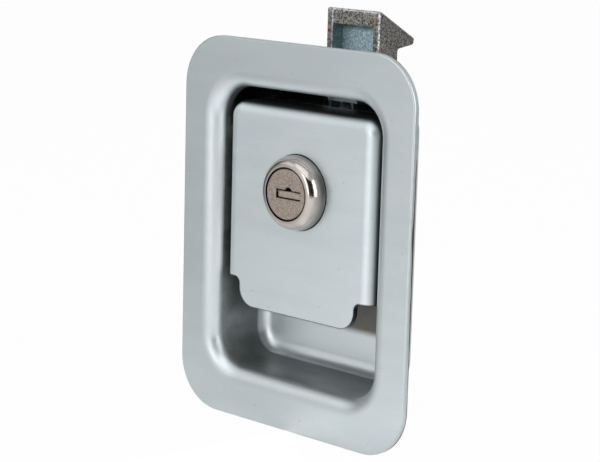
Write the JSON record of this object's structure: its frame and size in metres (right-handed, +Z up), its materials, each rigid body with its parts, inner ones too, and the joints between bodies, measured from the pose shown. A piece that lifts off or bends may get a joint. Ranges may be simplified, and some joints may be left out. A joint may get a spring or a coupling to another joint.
{
  "type": "paddle latch",
  "caption": "Flush weld-on paddle latch: a pressed pan and flange, a hinged paddle with a key lock, and a sprung slam bolt behind that the paddle draws down.",
  "frame": {"origin": "middle of the mounting flange's rear face, the face that lies on the door skin", "axes": "+X right as seen from the front, +Y into the door (the paddle faces -Y), +Z up towards the bolt"},
  "size_m": [0.0794, 0.0385, 0.1095],
  "materials": {
    "plated_sheet": "satin bright zinc plate over steel sheet",
    "channel_steel": "zinc plated",
    "die_cast_zinc": "tumbled die-cast zinc, grainy",
    "bezel_nickel": "polished nickel plate",
    "plug_nickel": "dull nickel plate",
    "pin_steel": "plated",
    "spring_steel": "drawn wire",
    "cam_steel": "zinc plated",
    "tumbler_brass": "stamped",
    "nylon": "natural nylon",
    "black_rubber": "matte"
  },
  "bodies": {
    "pan_body": {"pan": "plated_sheet", "guide_channel": "channel_steel", "guide_cap": "channel_steel", "channel_rivets": "pin_steel", "cap_rivets": "pin_steel", "hinge_pin": "pin_steel", "pin_clip": "spring_steel", "rubber_button_left": "black_rubber", "rubber_button_right": "black_rubber", "bolt_spring": "spring_steel"},
    "paddle_body": {"paddle": "plated_sheet", "paddle_lever": "channel_steel", "pin_bushing_left": "nylon", "pin_bushing_right": "nylon", "return_spring": "spring_steel", "lock_housing": "bezel_nickel", "lock_fork": "spring_steel"},
    "plug_body": {"lock_plug": "plug_nickel", "tumbler_1": "tumbler_brass", "tumbler_2": "tumbler_brass", "tumbler_3": "tumbler_brass", "tumbler_4": "tumbler_brass", "lock_cam": "cam_steel", "cam_washer": "pin_steel", "cam_screw": "pin_steel"},
    "shutter_body": {"key_shutter": "plug_nickel"},
    "bolt_body": {"slam_bolt": "die_cast_zinc"}
  },
  "joints": [
    {"name": "paddle_hinge", "type": "hinge", "parent": "pan_body", "child": "paddle_body", "pos_m": [0, 0.007, 0.0255], "axis": [-1, 0, 0], "range_deg": [0, 36], "stiffness_Nm_per_rad": 0.2, "springref_deg": -57.3, "deforming": ["return_spring"]},
    {"name": "bolt_slide", "type": "slide", "parent": "pan_body", "child": "bolt_body", "axis": [0, 0, -1], "range_m": [0, 0.0105], "stiffness_N_per_m": 30, "springref_m": -0.02, "deforming": ["bolt_spring"]},
    {"name": "plug_turn", "type": "hinge", "parent": "paddle_body", "child": "plug_body", "pos_m": [0, 0, 0.0125], "axis": [0, 1, 0], "range_deg": [0, 90]},
    {"name": "shutter_hinge", "type": "hinge", "parent": "plug_body", "child": "shutter_body", "pos_m": [0.00095, -0.00305, 0.01305], "axis": [1, 0, 0], "range_deg": [0, 75], "stiffness_Nm_per_rad": 0.00005, "springref_deg": -22.92}
  ],
  "couplings": [
    {"joint": "paddle_hinge", "follows": "bolt_slide", "rad_per_m": 59.802}
  ]
}
